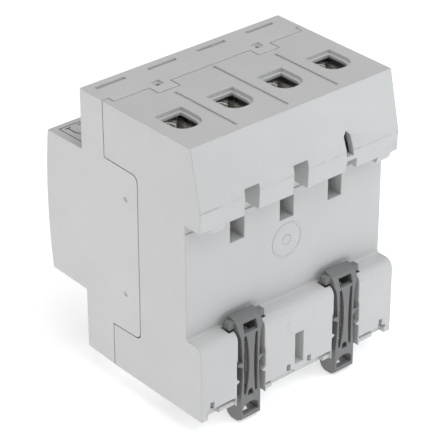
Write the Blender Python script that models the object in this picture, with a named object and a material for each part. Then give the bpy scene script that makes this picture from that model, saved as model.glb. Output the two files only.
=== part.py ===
"""Four-pole modular contactor for a 35 mm rail, as separate solids.

Frame: origin in the middle of the rail seat, +Y out of the back towards the rail, +Z up, X across the
width. Lengths are written in millimetres and turned into metres where the meshes are made.
"""
import math

import bmesh
import bpy
from mathutils import Matrix

MM = 0.001
GAP = 0.3  # between neighbouring pieces

# Housing
WIDTH = 72.2
TOP, BOTTOM = 42.15, -41.3
WALL = 1.8
SHOULDER_Y = -44.1
NOSE_TOP, NOSE_BOTTOM = 23.4, -21.4
NOSE_FRONT_Y = -61.1
FOOT_Y, FOOT_TOP = 6.2, -17.55
LIP_Z, HOOK_Z, HOOK_Y = 18.3, 24.6, 6.1
POLES = (-27.0, -9.0, 9.0, 27.0)
HOOK_NOTCHES = ((15.4, 20.6, 26.2), (-2.2, 3.0, 26.9), (-20.4, -16.6, 21.3))  # from x, to x, up to z
CLIPS = {"left": 18.0, "right": -18.0}
COILS = {"a1": -18.0, "a2": 18.0}

# Terminals
SCREW_Z = 33.0
WINDOW_W, WINDOW_REAR, WINDOW_FRONT = 9.2, -6.8, -17.8
BUS_REAR, BUS_FRONT = -17.9, -19.5
SCREW_R, SCREW_HEAD_R = 2.4, 4.1

# Motion at rest
BRIDGE_Y = -12.6
CROSSBAR_FRONT, CROSSBAR_REAR = -19.8, -16.0
POLE_FACE_Y = -34.5
ARMATURE_REAR, ARMATURE_FRONT = -25.4, -29.6
FLAG_Y, FLAG_Z = -51.2, 1.0


def clear_scene():
    for obj in list(bpy.data.objects):
        bpy.data.objects.remove(obj)


def material(name, colour, roughness, metallic=0.0, alpha=1.0):
    mat = bpy.data.materials.new(name)
    mat.use_nodes = True
    shader = mat.node_tree.nodes["Principled BSDF"]
    shader.inputs["Base Color"].default_value = (*colour, 1.0)
    shader.inputs["Roughness"].default_value = roughness
    shader.inputs["Metallic"].default_value = metallic
    shader.inputs["Alpha"].default_value = alpha
    return mat


# Shapes: each returns a closed bmesh in millimetres

AXES = {"X": (1, 2, 0), "Y": (0, 2, 1), "Z": (0, 1, 2)}


def prism(outline, axis, lo, hi):
    """Extrude an outline given in the plane across the axis, with its points as (y, z), (x, z) or (x, y)."""
    bm = bmesh.new()
    first, second, along = AXES[axis]
    verts = []
    for a, b in outline:
        co = [0.0, 0.0, 0.0]
        co[first], co[second], co[along] = a, b, lo
        verts.append(bm.verts.new(co))
    face = bm.faces.new(verts)
    side = bmesh.ops.extrude_face_region(bm, geom=[face])
    shift = [0.0, 0.0, 0.0]
    shift[along] = hi - lo
    moved = [v for v in side["geom"] if isinstance(v, bmesh.types.BMVert)]
    bmesh.ops.translate(bm, verts=moved, vec=shift)
    bmesh.ops.recalc_face_normals(bm, faces=bm.faces)
    return bm


def box(x0, x1, y0, y1, z0, z1):
    return prism([(x0, y0), (x1, y0), (x1, y1), (x0, y1)], "Z", z0, z1)


def ring_points(centre, radius, segments, start=0.0, sweep=2 * math.pi):
    count = segments if sweep == 2 * math.pi else segments + 1
    return [
        (centre[0] + radius * math.cos(start + sweep * i / segments),
         centre[1] + radius * math.sin(start + sweep * i / segments))
        for i in range(count)
    ]


def cylinder(axis, centre, radius, lo, hi, segments=24):
    return prism(ring_points(centre, radius, segments), axis, lo, hi)


def rounded(points, radii, steps=4):
    """The closed outline with the corners named in radii replaced by arcs."""
    result = []
    for i, (x, y) in enumerate(points):
        radius = radii.get(i, 0)
        if not radius:
            result.append((x, y))
            continue
        ends = []
        for j in (i - 1, (i + 1) % len(points)):
            dx, dy = points[j][0] - x, points[j][1] - y
            length = math.hypot(dx, dy)
            ends.append((dx / length, dy / length))
        (ax, ay), (bx, by) = ends
        half = math.acos(max(-1.0, min(1.0, ax * bx + ay * by))) / 2
        back = radius / math.tan(half)
        mx, my = ax + bx, ay + by
        size = math.hypot(mx, my)
        cx, cy = x + mx / size * radius / math.sin(half), y + my / size * radius / math.sin(half)
        start = math.atan2(y + ay * back - cy, x + ax * back - cx)
        end = math.atan2(y + by * back - cy, x + bx * back - cx)
        turn = (end - start + math.pi) % (2 * math.pi) - math.pi
        result += [
            (cx + radius * math.cos(start + turn * k / steps), cy + radius * math.sin(start + turn * k / steps))
            for k in range(steps + 1)
        ]
    return result


def mirror_z(bm):
    """The same solid, upside down about the rail centre."""
    bmesh.ops.transform(bm, matrix=Matrix.Diagonal((1, 1, -1, 1)), verts=bm.verts)
    bmesh.ops.reverse_faces(bm, faces=bm.faces)
    return bm


def build(name, bm, mat=None, smooth=False):
    bmesh.ops.scale(bm, vec=(MM, MM, MM), verts=bm.verts)
    mesh = bpy.data.meshes.new(name)
    bm.to_mesh(mesh)
    bm.free()
    obj = bpy.data.objects.new(name, mesh)
    bpy.context.scene.collection.objects.link(obj)
    if mat:
        mesh.materials.append(mat)
    if smooth:
        round_shading(obj)
    return obj


def round_shading(obj):
    obj.data.shade_smooth()
    obj.data.set_sharp_from_angle(angle=math.radians(32))


def combine(target, tool, operation):
    """Join a solid, as a bmesh or an object, to an object, or cut it away, and keep only the result."""
    if isinstance(tool, bmesh.types.BMesh):
        tool = build("tool", tool)
    change = target.modifiers.new("change", "BOOLEAN")
    change.operation = operation
    change.solver = "EXACT"
    change.object = tool
    depsgraph = bpy.context.evaluated_depsgraph_get()
    mesh = bpy.data.meshes.new_from_object(target.evaluated_get(depsgraph))
    target.modifiers.remove(change)
    old = target.data
    mesh.name = target.name
    target.data = mesh
    bpy.data.meshes.remove(old)
    bpy.data.objects.remove(tool)


def add(target, *solids):
    for solid in solids:
        combine(target, solid, "UNION")


def cut(target, *solids):
    for solid in solids:
        combine(target, solid, "DIFFERENCE")


def set_origin(obj, x, y, z):
    """Move the object's origin to a point on its joint axis, leaving the shape where it is."""
    obj.data.transform(Matrix.Translation((-x * MM, -y * MM, -z * MM)))
    obj.location = (x * MM, y * MM, z * MM)


# Housing


def window_outline(x, width, front, rear, radius):
    half = width / 2
    return rounded([(x - half, front), (x + half, front), (x + half, rear), (x - half, rear)],
                   {2: radius, 3: radius}, 4)


def tongue(x0, x1):
    """A rounded tongue on the foot's bottom edge, beside a clip."""
    outline = rounded([(3.0, BOTTOM), (5.7, BOTTOM), (5.7, -39.7), (3.0, -39.7)], {1: 0.5, 2: 0.5}, 2)
    return prism(outline, "X", x0, x1)


def clip_tooth(x, side):
    """The click tooth that stands into a clip pocket from its side wall."""
    points = [(x + side * 5.8, -32.3), (x + side * 4.15, -33.8), (x + side * 5.8, -34.7)]
    return prism(points, "Y", 3.0, FOOT_Y)


def make_rear_base(mat):
    outline = rounded(
        [(-34.15, TOP), (-33.95, 25.25), (-19.8, 24.9), (-19.8, -27.2), (-31.85, -27.55), (-31.85, BOTTOM),
         (FOOT_Y, BOTTOM), (FOOT_Y, FOOT_TOP), (0.0, FOOT_TOP), (0.0, LIP_Z), (5.8, LIP_Z), (HOOK_Y, HOOK_Z),
         (2.2, TOP)],
        {2: 2.0, 3: 2.0, 7: 2.8, 8: 0.8},
    )
    half, inner = WIDTH / 2, WIDTH / 2 - WALL
    base = build("rear_base", prism(outline, "X", -half, half), mat)
    cut(base, box(-inner, inner, -50, -2.2, BOTTOM + 2, TOP - 2))
    hook = [(-3.0, TOP - 2), (0.3, TOP - 2), (4.0, 24.4), (4.0, 21.6), (-3.0, 21.6)]
    cut(base, prism(hook, "X", -inner, inner))
    # walls between the poles, with a way through for the carrier, and shelves behind the bus strips
    for x in (-18, 0, 18):
        add(base, box(x - 0.8, x + 0.8, -19.5, -2.0, BOTTOM + 1.5, TOP - 1.5))
        cut(base, box(x - 1.5, x + 1.5, -21, -15.6, -6.6, 6.6))
        add(base, box(x - 3.8, x + 3.8, -13.4, -2.0, 6.4, 19.2))
        cut(base, box(x - 2.55, x + 2.55, -12.2, 0.5, 7.2, 18.0))
    for z in (-20.8, 20.8):
        add(base, box(-inner - 0.3, inner + 0.3, -17.6, -2.0, z - 0.8, z + 0.8))
    # the hook's lugs grip behind the rail's upper edge, over a shallow step in the seat
    lug = [(1.3, LIP_Z + 0.5), (1.3, 16.0), (4.6, 16.0), (5.6, LIP_Z), (5.6, LIP_Z + 0.5)]
    for x in (29.0, -31.7):
        add(base, prism(lug, "X", x - 2.5, x + 2.5))
    cut(base, box(-half - 1, half + 1, -0.3, 0.6, 15.6, LIP_Z))
    # notches right through the hook, each closed off from the inside, and an arrow-shaped keyhole
    for x0, x1, top in HOOK_NOTCHES:
        add(base, box(x0 - 1.0, x1 + 1.0, -2.2, 4.2, 21.0, top + 1.0))
        cut(base, box(x0, x1, 0.0, 7.0, LIP_Z - 0.1, top))
    arrow = [(-19.1, 22.7), (-16.5, 22.7), (-15.9, 28.9), (-16.9, 30.4), (-18.3, 28.9)]
    cut(base, prism(arrow, "Y", 1.2, 7.0))
    # wire windows in the top and the bottom, with a wider collar
    for x in POLES:
        collar = window_outline(x, WINDOW_W, WINDOW_FRONT, WINDOW_REAR, 3.8)
        hole = window_outline(x, WINDOW_W - 1.6, WINDOW_FRONT + 0.8, WINDOW_REAR - 0.8, 3.2)
        cut(base, prism(collar, "Z", TOP - 1.1, TOP + 1), prism(hole, "Z", TOP - 3, TOP))
        cut(base, prism(collar, "Z", BOTTOM - 1, BOTTOM + 1.1), prism(hole, "Z", BOTTOM, BOTTOM + 3))
    for x, front in ((-18.1, -25.5), (0, -30.7), (18.1, -25.5)):
        cut(base, box(x - 0.5, x + 0.5, front, -0.3, TOP - 0.5, TOP + 1))
    # the foot: hollow between the clip pockets, open at its lower slit
    for side in (-1, 1):
        for a, b in ((1.9, 11.2), (24.8, 34.2)):
            x0, x1 = sorted((side * a, side * b))
            cut(base, box(x0, x1, 0.2, 4.4, -39.5, -19.6))
        for a, b in ((1.9, 12.4), (23.6, 34.2)):
            x0, x1 = sorted((side * a, side * b))
            cut(base, box(x0, x1, 3.4, 7, -39.6, -38.5))
        for a, b in ((-0.1, 12.4), (23.6, 33.8)):
            x0, x1 = sorted((side * a, side * b))
            cut(base, box(x0, x1, 4.4, 7, BOTTOM - 1, -39.4))
        for a, b in ((9.8, 12.5), (23.5, 29.4)):
            x0, x1 = sorted((side * a, side * b))
            add(base, tongue(x0, x1))
        for a in (3.9, 32.2):
            x0, x1 = sorted((side * (a - 0.7), side * (a + 0.7)))
            cut(base, box(x0, x1, 4.2, 7, -38.7, -36.2))
    cut(base, box(-1.6, 1.6, 2.6, 7, -37.0, -26.8))
    for x in CLIPS.values():
        cut(base, box(x - 5.0, x + 5.0, -0.9, 7, -30, -17.3), box(x - 5.3, x + 5.3, -0.9, 7, -42, -26.7))
        cut(base, box(x - 4.7, x + 4.7, -0.05, 0.5, FOOT_TOP - 0.1, -14.2))
        cut(base, box(x - 6.8, x + 6.8, -0.05, 0.5, FOOT_TOP - 0.1, -15.0))
        cut(base, box(x - 6.8, x + 6.8, 0.9, 4.4, -21.1, FOOT_TOP + 0.5))
        add(base, clip_tooth(x, -1), clip_tooth(x, 1))
        add(base, box(x - 2.4, x + 2.4, -1.2, 2.9, -38.5, -36.0))
    # room for the cover's top and bottom flanges, its tabs and the coil wire ways
    for low, high in ((TOP - 2.5, TOP + 1), (BOTTOM - 1, BOTTOM + 2.5)):
        cut(base, box(-34.15, 34.15, -36, -31.65, low, high))
        for x in (-18.1, 18.1):
            cut(base, box(x - 3.9, x + 3.9, -32, -27.65, low, high))
    return base


def make_front_cover(mat):
    inner = WIDTH / 2 - WALL
    arc_radius = ((NOSE_TOP - NOSE_BOTTOM) ** 2 / 4 + 1.4 ** 2) / 2.8
    middle = (NOSE_TOP + NOSE_BOTTOM) / 2
    nose = []
    for i in range(9):
        z = NOSE_BOTTOM + (NOSE_TOP - NOSE_BOTTOM) * i / 8
        nose.append((NOSE_FRONT_Y + arc_radius - math.sqrt(arc_radius ** 2 - (z - middle) ** 2), z))
    outline = [(-32.15, -41.2), (SHOULDER_Y, -40.7), (SHOULDER_Y, NOSE_BOTTOM - 0.3)] + nose
    outline += [(SHOULDER_Y, NOSE_TOP + 0.2), (SHOULDER_Y, TOP), (-34.45, TOP), (-34.25, 24.95)]
    outline += rounded([(-34.25, 24.95), (-20.1, 24.6), (-20.1, -26.9), (-32.15, -27.25)], {1: 2.0, 2: 2.0})[1:]
    cover = build("front_cover", prism(outline, "X", -WIDTH / 2, WIDTH / 2), mat)
    cut(cover, box(-inner, inner, SHOULDER_Y + WALL, -10, -38.9, TOP - 2))
    cut(cover, box(-inner, inner, -58.2, -30, NOSE_BOTTOM + WALL, NOSE_TOP - WALL))
    # flanges and latch tabs that reach over the base
    add(cover, box(-33.85, 33.85, -35, -31.95, TOP - 2, TOP))
    for x in (-18.1, 18.1):
        add(cover, box(x - 3.6, x + 3.6, -32.5, -27.95, TOP - 2, TOP))
        add(cover, box(x - 3.6, x + 3.6, -32.5, -27.95, -41.2, -39.2))
        cut(cover, box(x - 1.4, x + 1.4, -34.3, -31.5, TOP - 0.6, TOP + 1))
        cut(cover, box(x - 0.7, x + 0.7, -33.5, -32.1, TOP - 3, TOP))
    for x in (27.8, 9.8, -8.1, -26.2):
        cut(cover, box(x - 5.1, x + 5.1, -41.7, -40.5, TOP - 1.3, TOP + 1))
    # screwdriver wells in the shoulders
    for x in POLES:
        for z in (-SCREW_Z, SCREW_Z):
            add(cover, cylinder("Y", (x, z), 5.6, -43.0, -34.0, 20))
            cut(cover, cylinder("Y", (x, z), 4.6, -46, -33, 20))
    for x in COILS.values():
        cut(cover, cylinder("Y", (x, -SCREW_Z), 3.5, -46, -41, 20))
        cut(cover, box(x - 2.2, x + 2.2, -33.2, -28.8, -43, -38))
    for y, z in ((-25.0, 15.8), (-26.0, -14.7)):
        for x in (-WIDTH / 2, WIDTH / 2):
            cut(cover, cylinder("X", (y, z), 0.8, x - 0.25, x + 0.25, 14))
    # ribs beside the magnet
    for x in (-15.9, 15.9):
        add(cover, box(x - 0.8, x + 0.8, -58.5, -37.0, NOSE_BOTTOM + 1.5, NOSE_TOP - 1.5))
    # seats of the label plate and of the indicator window
    cut(cover, box(-31.3, 16.3, -62, -59.6, -9.3, 11.3))
    cut(cover, box(22.0, 31.6, -62, -57, -3.1, 5.1))
    return cover


def make_front_parts(mats):
    build("label_plate", box(-31.0, 16.0, -60.6, -59.9, -9.0, 11.0), mats["label"])
    build("indicator_window", box(22.3, 31.3, -60.6, -58.9, -2.8, 4.8), mats["clear"])
    flag = build("state_flag", cylinder("X", (FLAG_Y, FLAG_Z), 1.6, 23.0, 30.6, 16), mats["flag"])
    start = math.pi - math.radians(50)
    sector = ring_points((FLAG_Y, FLAG_Z), 6.4, 8, start, math.radians(100))
    sector += [(FLAG_Y - 0.4, FLAG_Z - 0.8), (FLAG_Y - 0.4, FLAG_Z + 0.8)]
    add(flag, prism(sector, "X", 23.4, 27.6))
    tilt = math.radians(20)
    across, down = (math.cos(tilt), math.sin(tilt)), (math.sin(tilt), -math.cos(tilt))
    lever = [
        (FLAG_Y + across[0] * a + down[0] * d, FLAG_Z + across[1] * a + down[1] * d)
        for a, d in ((-0.75, 0.5), (0.75, 0.5), (0.75, 7.4), (-0.75, 7.4))
    ]
    add(flag, prism(lever, "X", 28.2, 29.8))
    set_origin(flag, 26.8, FLAG_Y, FLAG_Z)


# Rail clips


def arc_strip(inner_edge, outer_edge, z_lo, z_hi, bow, side):
    """A narrow upright strip with a straight outer edge and an inner edge that bows to the clip's middle."""
    steps = 8
    points = [(side * outer_edge, z_hi), (side * outer_edge, z_lo)]
    for i in range(steps + 1):
        t = 2 * i / steps - 1
        points.append((side * (inner_edge - bow * (1 - t * t)), z_lo + (z_hi - z_lo) * i / steps))
    return points


def make_rail_clip(name, x, mat):
    head = [
        (6.0, -21.2), (6.0, -19.6), (5.85, -18.0), (5.35, -16.6), (4.5, -15.5), (3.4, -14.8), (2.2, -14.45),
        (1.5, -14.4), (1.25, -14.7), (1.25, -17.75), (-0.4, -17.75), (-0.4, -21.2),
    ]
    tongue = [(6.0, -21.0), (3.2, -21.0), (3.2, -41.0), (-0.3, -41.4), (-0.3, -46.2), (0.4, -47.5), (1.8, -48.2),
              (4.4, -48.2), (6.0, -47.1)]
    clip = build(name, prism(tongue, "X", -3.6, 3.6), mat)
    add(clip, prism(head, "X", -4.4, 4.4))
    for side in (-1, 1):
        lug, flange = sorted((side * 4.2, side * 6.4)), sorted((side * 4.2, side * 6.5))
        add(clip, box(lug[0], lug[1], 1.9, 4.1, -17.3, -15.2), box(flange[0], flange[1], 1.25, 2.1, -17.3, -16.3))
        cut(clip, prism(arc_strip(3.55, 4.2, -39.4, -21.4, 0.55, side), "Y", -1.0, 8))
        tooth = [(side * 2.8, -28.2), (side * 4.6, -28.3), (side * 4.95, -28.7), (side * 2.8, -30.2)]
        add(clip, prism(tooth, "Y", 3.2, 6.0))
        taper = [(side * 4.6, -17.5), (side * 3.6, -20.4), (side * 3.6, -22.0), (side * 4.6, -22.0)]
        cut(clip, prism(taper, "Y", -1.0, 8))
    # hollow behind the skin, with a shelf over the spring, and open between the tongue's cheeks
    cut(clip, box(-2.6, 2.6, 1.9, 4.6, -21.6, -16.6), box(-2.6, 2.6, -1.0, 4.6, -21.6, -18.3))
    cut(clip, box(-2.4, 2.4, 3.0, 5.0, -39.2, -21.0), box(-2.6, 2.6, -1.0, 4.4, -49, -40.5))
    cut(clip, box(-2.4, 2.4, 4.0, 8, -19.0, -16.3))
    for side, bow in ((1, 1.05), (-1, 0.45)):
        cut(clip, prism(arc_strip(1.65, 2.45, -39.2, -19.9, bow, side), "Y", 2.8, 8))
    eye = [(-1.1, -40.0), (1.1, -40.0), (0.8, -38.4), (0.0, -37.9), (-0.8, -38.4)]
    cut(clip, prism(eye, "Y", 0, 8))
    pull = [(-2.9, -45.7), (2.9, -45.7), (2.9, -43.7), (1.9, -42.7), (0.0, -42.2), (-1.9, -42.7), (-2.9, -43.7)]
    cut(clip, prism(pull, "Y", 0, 8))
    for vert in clip.data.vertices:
        vert.co.x += x * MM
    set_origin(clip, x, 3.0, -31.0)
    return clip


# Springs: hollow sleeves of the coil's outer and inner radius


def sleeve(name, axis, centre, outer, wire, lo, hi, mat):
    """A coil spring's working envelope as a thin-walled sleeve."""
    obj = build(name, cylinder(axis, centre, outer, lo, hi, 14), mat, True)
    cut(obj, cylinder(axis, centre, outer - wire, lo - 1, hi + 1, 14))
    round_shading(obj)
    return obj


# Terminals


def make_terminal(kind, index, x, flip, mats):
    """One clamp: bus strip with its contact rivet, clamp cage and screw."""
    turn = mirror_z if flip else (lambda bm: bm)
    strip = build(f"{kind}_fixed_contact_{index}",
                  turn(box(x - 3.2, x + 3.2, BUS_FRONT, BUS_REAR, 8.2, 38.4)), mats["copper"])
    add(strip, turn(cylinder("Y", (x, 10.8), 2.1, BUS_REAR - 0.3, BUS_REAR + 1.0, 14)))
    cage = build(f"{kind}_clamp_cage_{index}",
                 turn(box(x - 5.8, x + 5.8, -22.0, -4.5, 28.5, 37.5)), mats["zinc"])
    cut(cage, turn(box(x - 4.6, x + 4.6, -20.4, -5.9, 27, 39)),
        turn(cylinder("Y", (x, SCREW_Z), SCREW_R + GAP, -23, -19, 16)))
    z = -SCREW_Z if flip else SCREW_Z
    set_origin(cage, x, -13.25, z)
    screw = build(f"{kind}_clamp_screw_{index}",
                  cylinder("Y", (x, z), SCREW_HEAD_R, -33.0, -29.8, 20), mats["steel"])
    add(screw, cylinder("Y", (x, z), SCREW_R, -30.0, -19.8, 16))
    cut(screw, box(x - 3.2, x + 3.2, -34, -31.4, z - 0.5, z + 0.5), box(x - 0.8, x + 0.8, -34, -31.4, z - 2.3, z + 2.3))
    round_shading(screw)
    set_origin(screw, x, -26.4, z)


def make_coil_terminal(tag, x, mats):
    z = -SCREW_Z
    cage = build(f"coil_clamp_cage_{tag}", box(x - 2.7, x + 2.7, -37.4, -27.6, -37.2, -29.0), mats["zinc"])
    cut(cage, box(x - 1.9, x + 1.9, -36.2, -28.6, -39, -28),
        cylinder("Y", (x, z), 1.7 + GAP, -39, -35, 14))
    set_origin(cage, x, -32.5, z)
    screw = build(f"coil_clamp_screw_{tag}", cylinder("Y", (x, z), 3.1, -43.4, -41.2, 18), mats["steel"])
    add(screw, cylinder("Y", (x, z), 1.7, -41.4, -34.7, 14))
    cut(screw, box(x - 2.4, x + 2.4, -44, -42.4, z - 0.4, z + 0.4))
    round_shading(screw)
    set_origin(screw, x, -39.0, z)
    side = 1 if x > 0 else -1
    lead = build(f"coil_lead_{tag}", box(x - 1.4, x + 1.4, -34.4, -33.4, -38.6, -16.6), mats["copper"])
    x0, x1 = sorted((side * 6.5, x))
    add(lead, box(x0, x1, -34.4, -33.4, -17.8, -16.6))
    x0, x1 = sorted((side * 6.5, side * 8.0))
    add(lead, box(x0, x1, -38.0, -33.6, -17.8, -16.6))


# Moving contacts


def make_carrier(mats):
    carrier = build("contact_carrier", box(-31.5, 31.5, CROSSBAR_FRONT, CROSSBAR_REAR, -5.6, 5.6), mats["carrier"])
    add(carrier, box(-4.6, 4.6, -22.2, CROSSBAR_FRONT + 0.3, -15.6, 15.6))
    add(carrier, box(-7.0, 7.0, -25.1, -22.0, -5.6, 5.6))
    cut(carrier, box(-5.2, 5.2, -19.5, -15.5, -16, -5.6), box(-5.2, 5.2, -19.5, -15.5, 5.6, 16))
    for x in POLES:
        add(carrier, box(x - 4.8, x + 4.8, -16.5, -5.2, -4.4, 4.4))
        cut(carrier, box(x - 3.4, x + 3.4, -12.9, -6.8, -6, 6))
    add(carrier, box(28.2, 29.8, -46.0, -19.5, -5.6, -3.4), box(28.2, 29.8, -47.7, -45.5, -5.6, -4.8))
    set_origin(carrier, 0, -16.0, 0)
    build("armature", box(-14.6, 14.6, ARMATURE_FRONT, ARMATURE_REAR, -7.6, 7.6), mats["iron"])
    for index, x in enumerate(POLES, 1):
        bridge = build(f"contact_bridge_{index}", box(x - 3.0, x + 3.0, BRIDGE_Y, BRIDGE_Y + 1.4, -13.4, 13.4),
                       mats["copper"])
        for z in (-10.8, 10.8):
            add(bridge, cylinder("Y", (x, z), 2.0, BRIDGE_Y - 1.0, BRIDGE_Y + 0.3, 14))
        set_origin(bridge, x, BRIDGE_Y + 0.7, 0)
        sleeve(f"contact_spring_{index}", "Y", (x, 0), 2.6, 0.6, -10.9, -7.1, mats["spring"])


def make_magnet(mats):
    core = build("fixed_core", box(-14.6, 14.6, -56.2, POLE_FACE_Y, -7.6, 7.6), mats["iron"])
    for x in (-7.35, 7.35):
        cut(core, box(x - 3.85, x + 3.85, -51.6, -30, -9, 9))
    for name, side in (("left", 1), ("right", -1)):
        x = side * 12.9
        cut(core, box(x - 0.85, x + 0.85, -36.6, -34, -9, 9))
        ring = build(f"shading_ring_{name}", box(x - 0.55, x + 0.55, -36.2, -34.8, -8.9, 8.9), mats["copper"])
        outer = sorted((side * 12.35, side * 16.0))
        add(ring, box(outer[0], outer[1], -36.2, -34.8, 7.9, 8.9), box(outer[0], outer[1], -36.2, -34.8, -8.9, -7.9))
        edge = sorted((side * 14.9, side * 16.0))
        add(ring, box(edge[0], edge[1], -36.2, -34.8, -8.9, 8.9))
    build("core_damper_pad", box(-14, 14, -57.9, -56.5, -7, 7), mats["rubber"])
    bobbin = build("coil_bobbin", box(-9.2, 9.2, -51.3, -34.9, -15.6, 15.6), mats["bobbin"])
    cut(bobbin, box(-10, 10, -49.9, -36.3, 9.3, 17), box(-10, 10, -49.9, -36.3, -17, -9.3),
        box(5.2, 10, -49.9, -36.3, -17, 17), box(-10, -5.2, -49.9, -36.3, -17, 17),
        box(-3.9, 3.9, -53, -33, -8.0, 8.0))
    ring = rounded([(-8.7, -13.6), (8.7, -13.6), (8.7, 13.6), (-8.7, 13.6)], {0: 3, 1: 3, 2: 3, 3: 3}, 3)
    winding = build("coil_winding", prism(ring, "Y", -49.6, -36.6), mats["winding"])
    cut(winding, box(-5.5, 5.5, -51, -35, -9.6, 9.6))
    for name, z in (("upper", 12.6), ("lower", -12.6)):
        sleeve(f"return_spring_{name}", "Y", (0, z), 2.4, 0.5, -34.6, -22.5, mats["spring"])


def main():
    clear_scene()
    mats = {
        "base": material("base_plastic", (0.60, 0.61, 0.62), 0.5),
        "cover": material("cover_plastic", (0.62, 0.62, 0.61), 0.5),
        "clip": material("clip_plastic", (0.20, 0.20, 0.20), 0.45),
        "label": material("label_plastic", (0.75, 0.75, 0.73), 0.4),
        "clear": material("clear_plastic", (0.85, 0.87, 0.88), 0.08, 0.0, 0.4),
        "flag": material("flag_plastic", (0.60, 0.05, 0.04), 0.5),
        "carrier": material("carrier_plastic", (0.09, 0.09, 0.10), 0.5),
        "bobbin": material("bobbin_plastic", (0.72, 0.70, 0.64), 0.5),
        "winding": material("enamelled_wire", (0.42, 0.16, 0.06), 0.3, 0.8),
        "rubber": material("rubber", (0.03, 0.03, 0.03), 0.8),
        "copper": material("plated_copper", (0.72, 0.50, 0.32), 0.3, 1.0),
        "zinc": material("zinc_plated_steel", (0.66, 0.64, 0.58), 0.3, 1.0),
        "steel": material("screw_steel", (0.60, 0.60, 0.60), 0.28, 1.0),
        "spring": material("spring_steel", (0.55, 0.55, 0.55), 0.3, 1.0),
        "iron": material("core_iron", (0.32, 0.32, 0.34), 0.4, 1.0),
    }
    make_rear_base(mats["base"])
    make_front_cover(mats["cover"])
    make_front_parts(mats)
    for name, x in CLIPS.items():
        make_rail_clip(f"rail_clip_{name}", x, mats["clip"])
        sleeve(f"clip_spring_{name}", "Z", (x, 1.15), 1.7, 0.5, -35.7, -18.6, mats["spring"])
    for index, x in enumerate(POLES, 1):
        make_terminal("upper", index, x, False, mats)
        make_terminal("lower", index, x, True, mats)
    for tag, x in COILS.items():
        make_coil_terminal(tag, x, mats)
    make_carrier(mats)
    make_magnet(mats)


main()
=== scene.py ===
"""The finished look of the four-pole modular contactor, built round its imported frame."""
import math

import bmesh
import bpy
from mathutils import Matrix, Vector


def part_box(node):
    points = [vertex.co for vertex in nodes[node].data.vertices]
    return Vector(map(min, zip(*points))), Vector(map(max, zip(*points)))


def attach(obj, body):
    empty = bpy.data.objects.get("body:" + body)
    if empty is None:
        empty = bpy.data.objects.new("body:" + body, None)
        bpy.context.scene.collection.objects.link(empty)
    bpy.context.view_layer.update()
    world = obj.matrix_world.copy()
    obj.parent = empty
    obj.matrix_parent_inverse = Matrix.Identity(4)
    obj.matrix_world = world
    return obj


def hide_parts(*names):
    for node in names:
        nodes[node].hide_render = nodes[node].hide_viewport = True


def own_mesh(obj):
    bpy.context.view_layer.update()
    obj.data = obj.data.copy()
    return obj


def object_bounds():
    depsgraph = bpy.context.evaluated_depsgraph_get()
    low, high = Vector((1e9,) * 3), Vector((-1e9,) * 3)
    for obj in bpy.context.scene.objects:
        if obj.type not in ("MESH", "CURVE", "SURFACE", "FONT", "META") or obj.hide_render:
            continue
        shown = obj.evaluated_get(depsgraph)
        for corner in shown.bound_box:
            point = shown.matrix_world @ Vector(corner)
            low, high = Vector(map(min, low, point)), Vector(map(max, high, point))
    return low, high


MM = 0.001

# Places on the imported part, in millimetres
POLES = (-27.0, -9.0, 9.0, 27.0)
COIL_TERMINALS = (("A1", -18.0), ("A2", 18.0))
SHOULDER_Y = -44.1
NOSE_TOP_Z, NOSE_TOP_SLOPE = 23.6, 0.2 / 15.6  # at the shoulder, and how it falls towards the front
LABEL_Y = -60.6

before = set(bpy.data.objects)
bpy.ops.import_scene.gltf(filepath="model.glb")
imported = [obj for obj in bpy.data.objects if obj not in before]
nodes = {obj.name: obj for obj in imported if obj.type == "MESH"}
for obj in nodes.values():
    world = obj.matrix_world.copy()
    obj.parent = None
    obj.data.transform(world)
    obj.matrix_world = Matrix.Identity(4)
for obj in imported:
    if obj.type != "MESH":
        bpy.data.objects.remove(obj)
CAD_LOW, CAD_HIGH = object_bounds()
scene = bpy.context.scene


# Node graphs

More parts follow.
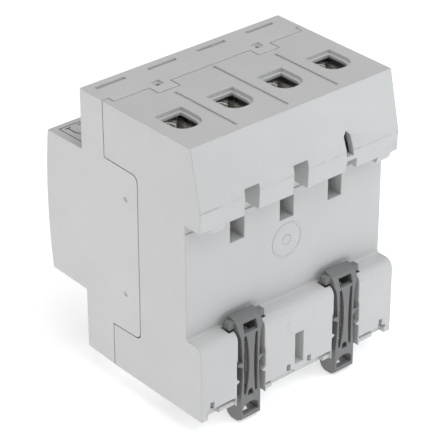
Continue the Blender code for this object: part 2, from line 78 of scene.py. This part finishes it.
class Graph:
    """Short calls for a material's nodes."""

    def __init__(self, name):
        self.material = bpy.data.materials.new(name)
        self.material.use_nodes = True
        self.tree = self.material.node_tree
        self.shader = self.tree.nodes["Principled BSDF"]
        self.coords = self.tree.nodes.new("ShaderNodeTexCoord").outputs["Object"]

    def node(self, kind, inputs=None, **settings):
        made = self.tree.nodes.new(kind)
        for key, value in settings.items():
            setattr(made, key, value)
        for key, value in (inputs or {}).items():
            if isinstance(value, bpy.types.NodeSocket):
                self.tree.links.new(value, made.inputs[key])
            else:
                made.inputs[key].default_value = value
        return made

    def math(self, operation, a, b=0.0, clamp=False):
        made = self.node("ShaderNodeMath", {0: a, 1: b}, operation=operation)
        made.use_clamp = clamp
        return made.outputs[0]

    def noise(self, scale, detail=2.0, roughness=0.5, vector=None):
        inputs = {"Vector": vector or self.coords, "Scale": scale, "Detail": detail, "Roughness": roughness}
        return self.node("ShaderNodeTexNoise", inputs).outputs["Fac"]

    def stretched_noise(self, scales, detail, roughness):
        """Noise drawn out along the axes by three different scales."""
        scaled = self.node("ShaderNodeVectorMath", {0: self.coords, 1: scales}, operation="MULTIPLY")
        return self.noise(1.0, detail, roughness, scaled.outputs[0])

    def span(self, value, low, high, out_low=0.0, out_high=1.0):
        inputs = {"Value": value, "From Min": low, "From Max": high, "To Min": out_low, "To Max": out_high}
        return self.node("ShaderNodeMapRange", inputs).outputs["Result"]

    def times(self, *values):
        """The product of several sockets or numbers."""
        product = values[0]
        for value in values[1:]:
            product = self.math("MULTIPLY", product, value)
        return product

    def mix(self, factor, a, b):
        made = self.tree.nodes.new("ShaderNodeMix")
        made.data_type = "RGBA"
        for socket, value in ((made.inputs[0], factor), (made.inputs[6], a), (made.inputs[7], b)):
            if isinstance(value, bpy.types.NodeSocket):
                self.tree.links.new(value, socket)
            else:
                socket.default_value = value
        return made.outputs[2]

    def soft_edges(self, radius):
        return self.node("ShaderNodeBevel", {"Radius": radius}, samples=6).outputs["Normal"]

    def bump(self, height, distance, strength=1.0, normal=None):
        inputs = {"Height": height, "Distance": distance, "Strength": strength}
        if normal:
            inputs["Normal"] = normal
        return self.node("ShaderNodeBump", inputs).outputs["Normal"]

    def link(self, value, socket):
        self.tree.links.new(value, self.shader.inputs[socket])


def rgb(r, g, b):
    """An opaque colour."""
    return (r, g, b, 1.0)


EDGE_RADIUS, WAVE_DEPTH = 0.00035, 0.00012  # metres, of the softened edges and the sink marks
SPECK, DIRT_SHADE = rgb(0.16, 0.15, 0.14), 0.72


def moulded_plastic(name, colour, roughness, grain=0.00002, mottle=0.02, scuffs=None, specks=True):
    """Injection-moulded plastic: a faint spark-eroded grain, uneven gloss, mottling and handling marks."""
    g = Graph(name)
    # the colour wanders slowly across the moulding
    tone = g.span(g.noise(55.0, 3.0), 0.3, 0.7, 1.0 - mottle, 1.0 + mottle)
    base = g.node("ShaderNodeVectorMath", {0: colour, "Scale": tone}, operation="SCALE").outputs[0]
    # faint patches of dirt, and a few dark specks
    dirt = g.math("MULTIPLY", g.span(g.noise(420.0, 4.0, 0.7), 0.60, 0.80), 0.22, True)
    colour_out = g.mix(dirt, base, rgb(*[c * DIRT_SHADE for c in colour]))
    if specks:
        cells = g.node("ShaderNodeTexVoronoi", {"Vector": g.coords, "Scale": 130.0}).outputs["Distance"]
        speck = g.math("MULTIPLY", g.span(cells, 0.030, 0.018), g.span(g.noise(60.0), 0.52, 0.60), True)
        colour_out = g.mix(g.math("MULTIPLY", speck, 0.55), colour_out, SPECK)
    if scuffs:
        colour_out = scuffs(g, colour_out)
    g.link(colour_out, "Base Color")
    g.link(g.span(g.noise(160.0, 3.0), 0.3, 0.7, roughness - 0.05, roughness + 0.07), "Roughness")
    # the grain lies on slow waves, and both lie on the softened edges
    fine = g.noise(4200.0, 2.0, 0.6)
    waves = g.noise(90.0, 1.0)
    g.link(g.bump(fine, grain, 0.6, g.bump(waves, WAVE_DEPTH, 0.35, g.soft_edges(EDGE_RADIUS))), "Normal")
    g.shader.inputs["Specular IOR Level"].default_value = 0.42
    return g.material


SCUFF_Z = 0.0243  # the height at which the rail's edge rubs the hook, in metres
RUBBED, CORNER_RUBBED, SEAT_RUBBED = rgb(0.20, 0.20, 0.19), rgb(0.30, 0.30, 0.29), rgb(0.30, 0.30, 0.30)
HANDLED = rgb(0.28, 0.28, 0.27)


def rail_scuffs(g, colour):
    """Grey rubbing marks where the rail and hands touch the hook's lip, the seat and the foot."""
    x, y, z = g.node("ShaderNodeSeparateXYZ", {"Vector": g.coords}).outputs
    streaks = g.stretched_noise((140.0, 300.0, 900.0), 4.0, 0.65)
    rear = g.span(y, 0.0055, 0.0059)
    # a thin line along the hook, strongest towards the right-hand end
    away = g.math("ABSOLUTE", g.math("SUBTRACT", z, SCUFF_Z))
    band = g.math("SUBTRACT", 1.0, g.math("MULTIPLY", away, 1800.0), True)
    ends = g.math("ADD", g.span(x, -0.005, -0.034, 0.35, 1.0), g.span(x, 0.028, 0.034, 0.0, 0.6))
    line = g.times(g.times(band, rear), g.times(ends, g.span(streaks, 0.42, 0.62)))
    colour = g.mix(g.math("MULTIPLY", line, 0.75, True), colour, RUBBED)
    # the hook's right-hand corner
    corner = g.times(g.span(x, -0.0335, -0.0358), g.times(rear, g.span(z, 0.0250, 0.0235)))
    corner = g.times(corner, g.span(z, 0.0176, 0.0190))
    worn = g.times(corner, g.span(streaks, 0.44, 0.66))
    colour = g.mix(g.math("MULTIPLY", worn, 0.30, True), colour, CORNER_RUBBED)
    # the flat seat behind the rail
    flat = g.span(g.math("ABSOLUTE", y), 0.0004, 0.0001)
    seat = g.times(flat, g.span(streaks, 0.60, 0.78))
    colour = g.mix(g.math("MULTIPLY", seat, 0.10, True), colour, SEAT_RUBBED)
    # finger marks on the foot
    rubs = g.stretched_noise((160.0, 160.0, 60.0), 5.0, 0.7)
    foot = g.times(g.span(rubs, 0.62, 0.74), g.times(g.span(y, 0.0058, 0.0061), g.span(z, -0.016, -0.020)))
    return g.mix(g.math("MULTIPLY", foot, 0.35, True), colour, HANDLED)


def plated_metal(name, colour, roughness, tint=None, bump=0.000008, metallic=1.0):
    """Plated sheet metal: fine drawing lines under cloudy plating."""
    g = Graph(name)
    lines = g.stretched_noise((200.0, 200.0, 1200.0), 3.0, 0.6)
    cloud = g.noise(240.0, 3.0)
    other = tint or tuple(c * 0.82 for c in colour)
    g.link(g.mix(g.span(cloud, 0.38, 0.66), rgb(*colour), rgb(*other)), "Base Color")
    g.link(g.span(lines, 0.3, 0.7, roughness - 0.08, roughness + 0.12), "Roughness")
    g.link(g.bump(lines, bump, 0.5), "Normal")
    g.shader.inputs["Metallic"].default_value = metallic
    return g.material


SHEETS_PER_METRE, TURNS_PER_METRE = 2000.0, 3600.0


def laminated_iron(name):
    """Stacked core laminations, blued and oiled."""
    g = Graph(name)
    z = g.node("ShaderNodeSeparateXYZ", {"Vector": g.coords}).outputs[2]
    sheet = g.math("FRACT", g.math("MULTIPLY", z, SHEETS_PER_METRE))
    joint = g.span(g.math("ABSOLUTE", g.math("SUBTRACT", sheet, 0.5)), 0.36, 0.48)
    tone = g.mix(g.noise(300.0, 3.0), rgb(0.20, 0.21, 0.24), rgb(0.36, 0.36, 0.38))
    g.link(g.mix(joint, tone, rgb(0.06, 0.05, 0.05)), "Base Color")
    g.link(g.span(g.noise(500.0), 0.3, 0.7, 0.32, 0.5), "Roughness")
    g.link(g.bump(joint, -0.00004, 0.7), "Normal")
    g.shader.inputs["Metallic"].default_value = 1.0
    return g.material


def wound_wire(name):
    """Enamelled copper wire laid in even turns round the coil."""
    g = Graph(name)
    y = g.node("ShaderNodeSeparateXYZ", {"Vector": g.coords}).outputs[1]
    turn = g.math("FRACT", g.math("MULTIPLY", y, TURNS_PER_METRE))
    # each turn's rounded crown: it bumps the wire, and it paints the colour, as painted shade in the grooves
    # between turns and a painted highlight on top
    crown_and_painted_shade = g.math("SINE", g.math("MULTIPLY", turn, math.pi))
    g.link(g.mix(crown_and_painted_shade, rgb(0.10, 0.025, 0.008), rgb(0.52, 0.17, 0.05)), "Base Color")
    g.link(g.span(g.noise(900.0), 0.3, 0.7, 0.2, 0.34), "Roughness")
    g.link(g.bump(crown_and_painted_shade, 0.00008, 0.9), "Normal")
    g.shader.inputs["Metallic"].default_value = 0.6
    g.shader.inputs["Coat Weight"].default_value = 0.5
    return g.material


def clear_plastic(name):
    """Polished clear plastic with a slightly wavy face."""
    g = Graph(name)
    g.shader.inputs["Base Color"].default_value = rgb(0.93, 0.95, 0.95)
    g.link(g.span(g.noise(300.0), 0.3, 0.7, 0.04, 0.12), "Roughness")
    g.link(g.bump(g.noise(120.0), 0.00006, 0.3), "Normal")
    g.shader.inputs["Transmission Weight"].default_value = 0.92
    g.shader.inputs["IOR"].default_value = 1.49
    return g.material


def ink(name, colour):
    """Matt printing ink, worn paler in places."""
    g = Graph(name)
    worn = rgb(*[c + 0.10 for c in colour])
    g.link(g.mix(g.span(g.noise(1500.0, 3.0), 0.45, 0.75), rgb(*colour), worn), "Base Color")
    g.link(g.span(g.noise(800.0), 0.3, 0.7, 0.5, 0.65), "Roughness")
    return g.material


BASE_PLASTIC = (0.585, 0.585, 0.582)
COVER_PLASTIC = (0.603, 0.603, 0.600)
CLIP_PLASTIC = (0.190, 0.190, 0.190)
# near-white plating: partly the plating's own light tone and partly a painted glint, so the metal in the dim
# wiring windows shows bright
PLATING_WITH_PAINTED_GLINT = (0.93, 0.92, 0.89)

MATS = {
    "base": moulded_plastic("base_plastic", BASE_PLASTIC, 0.50, scuffs=rail_scuffs),
    "cover": moulded_plastic("cover_plastic", COVER_PLASTIC, 0.50),
    "clip": moulded_plastic("clip_plastic", CLIP_PLASTIC, 0.46, grain=0.00004, mottle=0.06, specks=False),
    "label": moulded_plastic("label_plastic", (0.78, 0.78, 0.76), 0.38, grain=0.00001),
    "clear": clear_plastic("clear_plastic"),
    "flag": moulded_plastic("flag_plastic", (0.55, 0.035, 0.03), 0.45, specks=False),
    "carrier": moulded_plastic("carrier_plastic", (0.06, 0.06, 0.065), 0.5, mottle=0.08, specks=False),
    "bobbin": moulded_plastic("bobbin_plastic", (0.66, 0.63, 0.55), 0.5, specks=False),
    "winding": wound_wire("enamelled_wire"),
    "rubber": moulded_plastic("rubber", (0.025, 0.025, 0.027), 0.8, grain=0.00006, specks=False),
    "copper": plated_metal("plated_copper", (0.78, 0.62, 0.45), 0.28, (0.62, 0.43, 0.28)),
    # painted glint: the tin and zinc are near-white and partly diffuse, so they show bright in the dim
    # windows without reflecting any lamp
    "tin": plated_metal("tinned_copper", PLATING_WITH_PAINTED_GLINT, 0.24, (0.84, 0.82, 0.78), 0.000004, metallic=0.3),
    "zinc": plated_metal("zinc_plated_steel", PLATING_WITH_PAINTED_GLINT, 0.24, (0.82, 0.80, 0.75), 0.000004, metallic=0.5),
    "steel": plated_metal("screw_steel", (0.64, 0.63, 0.60), 0.27),
    "spring": plated_metal("spring_steel", (0.74, 0.69, 0.58), 0.25),
    "iron": laminated_iron("core_iron"),
    "ink": ink("grey_ink", (0.07, 0.07, 0.08)),
}


# Finishing the CAD nodes

WELD_DISTANCE, SHARP_ANGLE = 0.00001, math.radians(28.0)

# How wide the broken edges are, in millimetres, by material key
EDGE_WIDTHS = {
    "base": 0.22, "cover": 0.22, "clip": 0.12, "label": 0.1, "clear": 0.15, "flag": 0.1, "carrier": 0.25,
    "bobbin": 0.2, "winding": 0.4, "rubber": 0.2, "copper": 0.12, "tin": 0.12, "zinc": 0.25, "steel": 0.2,
    "iron": 0.1,
}


def finish_node(name, key):
    """Give a CAD node its material and, where the material has an edge width, break its edges by a small
    radius.
    """
    obj = nodes[name]
    obj.data.materials.clear()
    obj.data.materials.append(MATS[key])
    if key in EDGE_WIDTHS:
        weld = obj.modifiers.new("weld", "WELD")
        weld.merge_threshold = WELD_DISTANCE
        bevel = obj.modifiers.new("edges", "BEVEL")
        bevel.width = EDGE_WIDTHS[key] * MM
        bevel.segments = 2
        bevel.limit_method = "ANGLE"
        bevel.angle_limit = SHARP_ANGLE
        bevel.use_clamp_overlap = True
        bevel.harden_normals = True
        bevel.miter_outer = "MITER_ARC"


def dress_cad_nodes():
    groups = {
        "base": ["rear_base"], "cover": ["front_cover"], "clip": ["rail_clip_left", "rail_clip_right"],
        "label": ["label_plate"], "clear": ["indicator_window"], "flag": ["state_flag"],
        "carrier": ["contact_carrier"], "bobbin": ["coil_bobbin"], "winding": ["coil_winding"],
        "rubber": ["core_damper_pad"], "iron": ["armature", "fixed_core"],
        "copper": [n for n in nodes if "shading_ring" in n or "contact_bridge" in n],
        "tin": [n for n in nodes if "fixed_contact" in n or "coil_lead" in n],
        "zinc": [n for n in nodes if "clamp_cage" in n],
        "steel": [n for n in nodes if "clamp_screw" in n],
        "spring": [n for n in nodes if "spring" in n],
    }
    for key, names in groups.items():
        for name in names:
            finish_node(name, key)


# Built pieces

SMOOTH_ANGLE = math.radians(35)


def new_piece(name, bm, key, body, smooth=True):
    """Turn a bmesh in millimetres into a piece that rides on a body and fills its material's slot."""
    bmesh.ops.scale(bm, vec=(MM, MM, MM), verts=bm.verts)
    mesh = bpy.data.meshes.new(name)
    bm.to_mesh(mesh)
    bm.free()
    obj = bpy.data.objects.new(name, mesh)
    scene.collection.objects.link(obj)
    mesh.materials.append(MATS[key])
    if smooth:
        mesh.shade_smooth()
        mesh.set_sharp_from_angle(angle=SMOOTH_ANGLE)
    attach(obj, body)
    return obj


def coil_spring(centre, axis, low, high, radius, wire, turns, closed, sides=8, steps=20):
    """A compression spring of round wire with closed ends, swept ring by ring along its own helix."""
    bm = bmesh.new()
    along = Vector(axis)
    first = Vector((1, 0, 0))
    second = along.cross(first)
    count = int(turns * steps)
    lead = wire * 1.03
    free = (high - low - wire - 2 * closed * lead) / (turns - 2 * closed)
    points = []
    for i in range(count + 1):
        t = i / count * turns
        rise = lead * min(t, closed) + free * max(0.0, min(t, turns - closed) - closed)
        rise += lead * max(0.0, t - (turns - closed))
        angle = 2 * math.pi * t
        out = first * math.cos(angle) + second * math.sin(angle)
        points.append(Vector(centre) + along * (low + wire / 2 + rise) + out * (radius - wire / 2))
    rings = []
    for i, point in enumerate(points):
        ahead = points[min(i + 1, count)] - points[max(i - 1, 0)]
        ahead.normalize()
        out = (point - Vector(centre))
        out -= along * out.dot(along)
        out.normalize()
        side = ahead.cross(out).normalized()
        out = side.cross(ahead).normalized()
        rings.append([bm.verts.new(point + (out * math.cos(a) + side * math.sin(a)) * wire / 2)
                      for a in (2 * math.pi * k / sides for k in range(sides))])
    for a, b in zip(rings, rings[1:]):
        for k in range(sides):
            bm.faces.new((a[k], a[(k + 1) % sides], b[(k + 1) % sides], b[k]))
    bm.faces.new(rings[0])
    bm.faces.new(rings[-1])
    bmesh.ops.recalc_face_normals(bm, faces=bm.faces)
    return bm


LONG_SPRING, CLOSED_LONG, CLOSED_SHORT = 6, 1.6, 1.1  # in turns; the last two at each end


def make_springs():
    """Real coils in place of the spring sleeves, which are hidden."""
    # node, axis, wire thickness, turns, body, joint, squash axis, fixed end, share of length kept
    specs = []
    for side in ("left", "right"):
        joint = f"rail_clip_{side}_slide"
        specs.append((f"clip_spring_{side}", "Z", 0.5, 13, "housing", joint, (0, 0, 1), "low", 0.79))
    for side in ("upper", "lower"):
        joint = "carrier_slide"
        specs.append((f"return_spring_{side}", "Y", 0.5, 10, "housing", joint, (0, 1, 0), "low", 0.62))
    for i in range(1, 5):
        joint = f"contact_bridge_{i}_slide"
        specs.append((f"contact_spring_{i}", "Y", 0.6, 5.2, "carrier", joint, (0, 1, 0), "high", 0.6))
    for node, axis, wire, turns, body, joint, direction, anchor, keep in specs:
        low, high = [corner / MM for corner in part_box(node)]
        k = "XYZ".index(axis)
        centre = (low + high) / 2
        centre[k] = 0
        radius = min(high[j] - low[j] for j in range(3) if j != k) / 2
        along = Vector([1.0 if j == k else 0.0 for j in range(3)])
        closed = CLOSED_LONG if turns > LONG_SPRING else CLOSED_SHORT
        bm = coil_spring(centre, along, low[k], high[k], radius, wire, turns, closed)
        spring = new_piece(node + "_coil", bm, "spring", body)
        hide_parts(node)
        point = Vector((0, 0, 0))
        point[k] = (low[k] if anchor == "low" else high[k]) * MM
        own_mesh(spring)


def upright(bm, outline, z0, z1):
    """Add a closed solid that stands on an outline of x and y, from z0 to z1."""
    low = [bm.verts.new((x, y, z0)) for x, y in outline]
    high = [bm.verts.new((x, y, z1)) for x, y in outline]
    faces = [bm.faces.new(low[::-1]), bm.faces.new(high)]
    for k in range(len(outline)):
        n = (k + 1) % len(outline)
        faces.append(bm.faces.new((low[k], low[n], high[n], high[k])))
    bmesh.ops.recalc_face_normals(bm, faces=faces)


def arc(cx, cy, radius, start, end, steps=10):
    """Points round a centre from one angle to another, in degrees."""
    angles = [math.radians(start + (end - start) * k / steps) for k in range(steps + 1)]
    return [(cx + radius * math.cos(a), cy + radius * math.sin(a)) for a in angles]


GUIDE_CENTRE, GUIDE_OUTER, GUIDE_INNER = (3.1, -14.7), 3.2, 2.75  # from the pole's middle
GUIDE_Z = {"upper": (31.0, 39.6), "lower": (31.0, 38.6)}
RIB_X, RIB_Y, RIB_RADIUS, RIB_Z = -4.62, (-15.8, -13.4, -11.0, -8.6), 0.65, (28.8, 37.3)


def make_terminal_details():
    """The curled wire guide on each bus strip, and the gripping ribs inside each clamp cage."""
    for kind, sign in (("upper", 1), ("lower", -1)):
        guides = bmesh.new()
        for index, x in enumerate(POLES, 1):
            cx, cy = x + GUIDE_CENTRE[0], GUIDE_CENTRE[1]
            curl = arc(cx, cy, GUIDE_OUTER, -90, -185) + arc(cx, cy, GUIDE_INNER, -185, -90)
            upright(guides, curl, *sorted(sign * z for z in GUIDE_Z[kind]))
            ribs = bmesh.new()
            for y in RIB_Y:
                upright(ribs, arc(x + RIB_X, y, RIB_RADIUS, -90, 90, 6), *sorted(sign * z for z in RIB_Z))
            new_piece(f"{kind}_cage_ribs_{index}", ribs, "zinc", f"{kind}_clamp_cage_{index}")
        new_piece(f"{kind}_wire_guides", guides, "tin", "housing")


GATE_X, GATE_Z, GATE_SEGMENTS = -0.3, 0.3, 64
GATE_RINGS = ((5.2, 0.35), (1.5, 0.25))  # radius and half width
GATE_HEIGHT, GATE_ROOT = 0.1, -0.05


def make_gate_mark():
    """The moulding gate's two raised rings in the middle of the rail seat, with rounded crowns."""
    bm = bmesh.new()
    for radius, half in GATE_RINGS:
        rise = GATE_HEIGHT * 0.7
        slope = [(-half, GATE_ROOT), (-half, 0.0), (-half * 0.5, rise)]
        profile = slope + [(0.0, GATE_HEIGHT)] + [(-r, y) for r, y in reversed(slope)]
        rings = []
        for i in range(GATE_SEGMENTS):
            angle = 2 * math.pi * i / GATE_SEGMENTS
            across, up = math.cos(angle), math.sin(angle)
            rings.append([bm.verts.new((GATE_X + (radius + r) * across, y, GATE_Z + (radius + r) * up))
                          for r, y in profile])
        for a, b in zip(rings, rings[1:] + rings[:1]):
            for k in range(len(profile)):
                n = (k + 1) % len(profile)
                bm.faces.new((a[k], a[n], b[n], b[k]))
    bmesh.ops.recalc_face_normals(bm, faces=bm.faces)
    new_piece("gate_mark", bm, "base", "housing")


def nose_top(x, y):
    """The point on the nose's sloping top at x and y, in millimetres."""
    return Vector((x, y, NOSE_TOP_Z + (y - SHOULDER_Y) * NOSE_TOP_SLOPE))


def shoulder_front(x, z):
    """The point on the flat front of the shoulders at x and z, in millimetres."""
    return Vector((x, SHOULDER_Y, z))


def label_front(x, z):
    """The point on the front of the label plate at x and z, in millimetres."""
    return Vector((x, LABEL_Y, z))


INK_DEPTH, INK_HEIGHT = 0.01, 0.04


def stroke(bm, surface, a, b, width):
    """One printed line from a to b, laid on a surface that maps two coordinates to a point."""
    a, b = Vector(a), Vector(b)
    along = (b - a).normalized()
    side = Vector((-along.y, along.x)) * width / 2
    a, b = a - along * width / 2, b + along * width / 2
    corners = [surface(*p) for p in (a - side, b - side, b + side, a + side)]
    normal = (corners[1] - corners[0]).cross(corners[2] - corners[0]).normalized()
    if normal.z < -0.5 or normal.y > 0.5:
        normal.negate()
        corners.reverse()
    low = [bm.verts.new(p - normal * INK_DEPTH) for p in corners]
    high = [bm.verts.new(p + normal * INK_HEIGHT) for p in corners]
    bm.faces.new(low[::-1])
    bm.faces.new(high)
    for k in range(4):
        bm.faces.new((low[k], low[(k + 1) % 4], high[(k + 1) % 4], high[k]))


LINE_WIDTH, LINK_WIDTH, RULE_WIDTH = 0.42, 0.3, 0.25
PITCH = 4.4  # between the contacts of a diagram
OPEN_FROM, OPEN_TO, SYMBOL_END = 3.4, 6.8, 10.2  # the gap in a contact, and the foot of the symbol
COIL_TOP, COIL_FOOT, COIL_WIDTH = 3.6, 6.6, 3.2
BAR_HALF, BLADE_LEAN, BLADE_END = 0.7, 1.7, 3.6  # a terminal's bar, and an open contact's blade
LINK_AT, LINK_DASHES = 5.2, 8  # the broken line that joins the contacts to the coil


def contact_symbols(bm, surface, x0, y0, size):
    """Four make contacts joined to a coil, drawn downwards from y0 with their right-hand contact at x0.

    The size scales their height and strokes, and leaves the pitch as it is.
    """
    def line(a, b, width=LINE_WIDTH):
        stroke(bm, surface, (a[0], y0 - a[1] * size), (b[0], y0 - b[1] * size), width * size)

    for i in range(len(POLES)):
        x = x0 - PITCH * i
        line((x, 0), (x, OPEN_FROM))
        line((x, OPEN_TO), (x, SYMBOL_END))
        line((x, OPEN_TO), (x - BLADE_LEAN * size, BLADE_END))
        for end in (0, SYMBOL_END):
            line((x - BAR_HALF, end), (x + BAR_HALF, end))
    for i in range(LINK_DASHES):
        x = x0 - 1.0 - PITCH * 0.48 * i
        line((x, LINK_AT), (x - PITCH * 0.25, LINK_AT), LINK_WIDTH)
    right = x0 - PITCH * len(POLES) + 0.2
    left, middle = right - COIL_WIDTH, right - COIL_WIDTH / 2
    outline = [(right, COIL_TOP), (left, COIL_TOP), (left, COIL_FOOT), (right, COIL_FOOT)]
    for a, b in zip(outline, outline[1:] + outline[:1]):
        line(a, b)
    line((middle, 0), (middle, COIL_TOP))
    line((middle, COIL_FOOT), (middle, SYMBOL_END))


def ruled_box(bm, surface, left, right, low, high, width):
    """Four printed lines round a rectangle."""
    for across in (low, high):
        stroke(bm, surface, (left, across), (right, across), width)
    for x in (left, right):
        stroke(bm, surface, (x, low), (x, high), width)


DIAGRAM_BOX = (9.6, 33.6, -57.6, -45.0)  # from x to x and from y to y


def make_wiring_diagram():
    """A generic contact diagram printed on the top of the nose, in a ruled box."""
    bm = bmesh.new()
    contact_symbols(bm, nose_top, 31.5, -46.2, 1.0)
    ruled_box(bm, nose_top, *DIAGRAM_BOX, RULE_WIDTH)
    new_piece("wiring_diagram", bm, "ink", "housing", False)


def make_label_print():
    """The label plate's print: the same symbols over ruled columns, without any wording."""
    bm = bmesh.new()
    left, right, low, high, columns_top, rule = -29.8, 14.8, -7.9, 9.9, -1.6, 0.2
    contact_symbols(bm, label_front, 11.6, 8.6, 0.8)
    ruled_box(bm, label_front, left, right, low, high, rule)
    for z in (columns_top, -4.8):
        stroke(bm, label_front, (left, z), (right, z), rule)
    for x in (-18.6, -7.4, 3.8):
        stroke(bm, label_front, (x, low), (x, columns_top), rule)
    new_piece("label_print", bm, "ink", "housing", False)


# Straight strokes from x, z to x, z in a cell that is two wide and four high
SEGMENTS = {
    "1": ((0, 2, 0, -2), (0, 2, -0.8, 1.2)),
    "2": ((-1, 2, 1, 2), (1, 2, 1, 0), (1, 0, -1, 0), (-1, 0, -1, -2), (-1, -2, 1, -2)),
    "3": ((-1, 2, 1, 2), (1, 2, 1, -2), (-0.4, 0, 1, 0), (-1, -2, 1, -2)),
    "4": ((-1, 2, -1, 0), (-1, 0, 1, 0), (1, 2, 1, -2)),
    "5": ((1, 2, -1, 2), (-1, 2, -1, 0), (-1, 0, 1, 0), (1, 0, 1, -2), (1, -2, -1, -2)),
    "6": ((1, 2, -1, 2), (-1, 2, -1, -2), (-1, -2, 1, -2), (1, -2, 1, 0), (1, 0, -1, 0)),
    "7": ((-1, 2, 1, 2), (1, 2, -0.2, -2)),
    "8": ((-1, 2, 1, 2), (1, 2, 1, -2), (1, -2, -1, -2), (-1, -2, -1, 2), (-1, 0, 1, 0)),
    "A": ((-1, -2, 0, 2), (0, 2, 1, -2), (-0.5, -0.5, 0.5, -0.5)),
}


UPPER_NUMBERS_Z, LOWER_NUMBERS_Z = 26.0, -26.4
CELL, LETTER_STEP, NUMBER_STROKE = 0.6, 1.9, 0.28


def make_terminal_numbers():
    """Plain terminal numbers beside the screw wells, drawn with straight strokes."""
    bm = bmesh.new()
    marks = [(str(2 * i + 1), x, UPPER_NUMBERS_Z) for i, x in enumerate(POLES)]
    marks += [(str(2 * i + 2), x, LOWER_NUMBERS_Z) for i, x in enumerate(POLES)]
    marks += [(name, x, LOWER_NUMBERS_Z) for name, x in COIL_TERMINALS]
    for text, x, z in marks:
        for k, letter in enumerate(text):
            cx = x + (k - (len(text) - 1) / 2) * LETTER_STEP
            for x0, z0, x1, z1 in SEGMENTS[letter]:
                start, end = (cx + x0 * CELL, z + z0 * CELL), (cx + x1 * CELL, z + z1 * CELL)
                stroke(bm, shoulder_front, start, end, NUMBER_STROKE)
    new_piece("terminal_numbers", bm, "ink", "housing", False)


# Studio

WORLD = {"horizon": (0.25, 0.25, 0.25), "zenith": (0.15, 0.15, 0.15)}
FLOOR_GLOW, FLOOR_SIZE, FLOOR_GAP = 0.44, 3.0, 0.0002

# Where each light stands, its size, and its red, green and blue watts
LIGHTS = {
    "overhead": ((0.0, 0.25, 0.70), (0.7, 0.7), (3.72, 3.69, 3.69)),
    "rear_right": ((-0.23, 0.21, 0.10), (0.22, 0.22), (0.27, 0.30, 0.33)),
    "side": ((0.70, -0.15, 0.15), (0.5, 0.5), (1.48, 1.54, 1.51)),
    "front_fill": ((0.0, -0.90, 0.25), (0.6, 0.6), (2.4, 2.4, 2.4)),
}


def area_light(name, location, size, watts):
    """A soft light that faces the origin, its red, green and blue power given in watts."""
    data = bpy.data.lights.new(name, "AREA")
    data.shape = "RECTANGLE"
    data.size, data.size_y = size
    data.energy = max(watts)
    data.color = [w / max(watts) for w in watts]
    light = bpy.data.objects.new(name, data)
    scene.collection.objects.link(light)
    light.location = location
    light.rotation_mode = "QUATERNION"
    light.rotation_quaternion = (-Vector(location)).to_track_quat("-Z", "Y")


def make_floor():
    """A plain pale floor just under the part."""
    bm = bmesh.new()
    bmesh.ops.create_grid(bm, x_segments=1, y_segments=1, size=FLOOR_SIZE)
    mesh = bpy.data.meshes.new("floor")
    bm.to_mesh(mesh)
    bm.free()
    floor = bpy.data.objects.new("floor", mesh)
    floor.location.z = CAD_LOW.z - FLOOR_GAP
    scene.collection.objects.link(floor)
    g = Graph("floor_white")
    g.shader.inputs["Base Color"].default_value = rgb(0.9, 0.9, 0.9)
    g.shader.inputs["Roughness"].default_value = 0.9
    g.shader.inputs["Specular IOR Level"].default_value = 0.1
    g.shader.inputs["Emission Color"].default_value = rgb(1.0, 1.0, 1.0)
    g.shader.inputs["Emission Strength"].default_value = FLOOR_GLOW
    mesh.materials.append(g.material)


def make_world():
    """A grey sky that is a little darker overhead."""
    world = bpy.data.worlds.new("studio")
    scene.world = world
    world.use_nodes = True
    tree = world.node_tree
    background = tree.nodes["Background"]
    coords = tree.nodes.new("ShaderNodeTexCoord").outputs["Generated"]
    split = tree.nodes.new("ShaderNodeSeparateXYZ")
    tree.links.new(coords, split.inputs[0])
    # a vector Map Range: inputs 6 to 10 are its vector, from-range and to-range
    ramp = tree.nodes.new("ShaderNodeMapRange")
    ramp.data_type = "FLOAT_VECTOR"
    ramp.inputs[7].default_value = (0.05, 0.05, 0.05)
    ramp.inputs[8].default_value = (0.8, 0.8, 0.8)
    ramp.inputs[9].default_value = WORLD["horizon"]
    ramp.inputs[10].default_value = WORLD["zenith"]
    tree.links.new(split.outputs[2], ramp.inputs[6])
    tree.links.new(ramp.outputs[1], background.inputs["Color"])


# Where the camera stands in metres, the direction it looks from in degrees, and its lens in millimetres
CAMERA_PLACE = (0.3444, 0.3713, 0.2991)
CAMERA_AZIMUTH, CAMERA_ELEVATION = 139.17, 30.06
LENS, SENSOR = 173.2, 36.0


def make_camera():
    """The viewpoint: behind the object, to its left and above."""
    azimuth, elevation = math.radians(CAMERA_AZIMUTH), math.radians(CAMERA_ELEVATION)
    back = Vector((math.sin(azimuth) * math.cos(elevation), -math.cos(azimuth) * math.cos(elevation),
                   math.sin(elevation)))
    data = bpy.data.cameras.new("camera")
    data.lens, data.sensor_width = LENS, SENSOR
    data.clip_start, data.clip_end = 0.01, 20.0
    camera = bpy.data.objects.new("camera", data)
    scene.collection.objects.link(camera)
    camera.location = CAMERA_PLACE
    camera.rotation_mode = "QUATERNION"
    camera.rotation_quaternion = (-back).to_track_quat("-Z", "Y")
    scene.camera = camera
    scene.view_settings.view_transform = "Standard"


dress_cad_nodes()
make_springs()
make_terminal_details()
make_gate_mark()
make_wiring_diagram()
make_label_print()
make_terminal_numbers()
make_floor()
make_world()
for name, (place, size, watts) in LIGHTS.items():
    area_light(name, place, size, watts)
make_camera()
